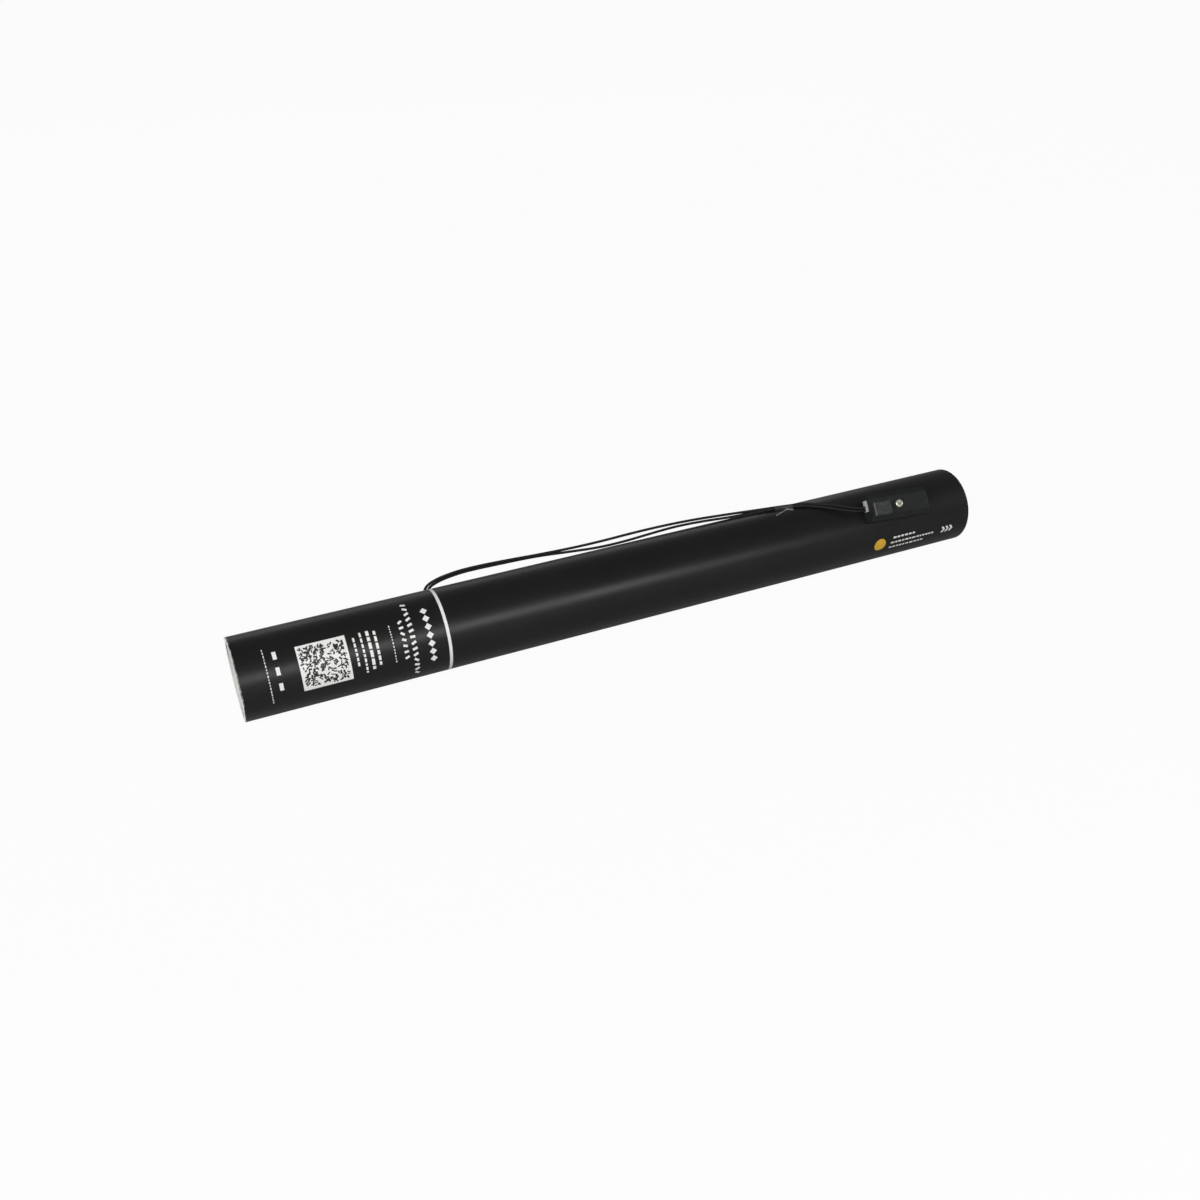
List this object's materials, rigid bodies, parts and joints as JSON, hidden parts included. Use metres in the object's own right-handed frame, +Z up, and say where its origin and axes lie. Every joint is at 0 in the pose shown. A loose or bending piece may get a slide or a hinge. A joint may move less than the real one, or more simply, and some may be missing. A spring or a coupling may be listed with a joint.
{
  "type": "confetti popper",
  "caption": "Long round paper tube that fires confetti, with an electric release inside, a wire pair along the outside under clear tape, and a small two-pole plug near the muzzle.",
  "frame": {"origin": "on the floor under the middle of the barrel, which lies on its side", "axes": "+X along the barrel from the base to the muzzle, +Z up, -Y the side that the plug lies on"},
  "size_m": [0.5, 0.0543, 0.0579],
  "materials": {
    "black_wrap": "satin black printed paper over a wound paper tube",
    "black_plastic": "moulded, matt",
    "grey_foam": "closed-cell pad",
    "bare_steel": "drawn, lightly oiled",
    "brass": "turned or stamped",
    "black_rubber": "matt",
    "white_plastic": "moulded, satin",
    "plated_steel": "bright nickel plate",
    "clear_nylon": "single filament",
    "heater_body": "lacquered resistor",
    "wire_sheath": "soft black sheath",
    "clear_tape": "clear film tape",
    "pale_plastic": "moulded, pale grey",
    "plug_plastic": "moulded, matt dark grey",
    "grey_board": "grey board",
    "paper_slips": "loosely stacked tissue paper slips"
  },
  "bodies": {
    "barrel": {"barrel_tube": "black_wrap", "base_cap": "black_plastic", "cylinder_pad": "grey_foam", "gas_cylinder": "bare_steel", "centring_ring_lower": "black_plastic", "centring_ring_upper": "black_plastic", "valve_body": "brass", "valve_seal": "black_rubber", "trigger_housing": "white_plastic", "housing_cover": "white_plastic", "cover_screws": "plated_steel", "striker_spring": "bare_steel", "thread_anchor_half": "clear_nylon", "heater_resistor": "heater_body", "terminal_tabs": "brass", "exit_grommet": "black_rubber", "lead_wire_a": "wire_sheath", "lead_wire_b": "wire_sheath", "tape_strip": "clear_tape", "cord_grip": "pale_plastic", "plug_base": "plug_plastic", "plug_cover": "plug_plastic", "plug_screw": "plated_steel", "plug_nut": "plated_steel", "plug_blades": "brass", "plug_tails": "wire_sheath"},
    "striker": {"striker": "bare_steel", "thread_striker_half": "clear_nylon"},
    "valve_pin": {"valve_pin": "bare_steel", "poppet_washer": "black_rubber"},
    "charge": {"wad": "grey_board", "confetti_layer_1": "paper_slips", "confetti_layer_2": "paper_slips", "confetti_layer_3": "paper_slips", "confetti_layer_4": "paper_slips", "confetti_layer_5": "paper_slips", "confetti_layer_6": "paper_slips", "muzzle_disc": "grey_board"},
    "guard": {"blade_guard": "plug_plastic"}
  },
  "joints": [
    {"name": "striker_release", "type": "slide", "parent": "barrel", "child": "striker", "axis": [-1, 0, 0], "range_m": [0, 0.003], "deforming": ["striker_spring"]},
    {"name": "valve_open", "type": "slide", "parent": "barrel", "child": "valve_pin", "axis": [-1, 0, 0], "range_m": [0, 0.003]},
    {"name": "charge_shot", "type": "slide", "parent": "barrel", "child": "charge", "axis": [1, 0, 0], "range_m": [0, 0.3635]},
    {"name": "guard_pull", "type": "slide", "parent": "barrel", "child": "guard", "axis": [0.9979, -0.0415, -0.0494], "range_m": [0, 0.018]}
  ],
  "couplings": [
    {"joint": "valve_open", "follows": "striker_release", "ratio": 1}
  ]
}
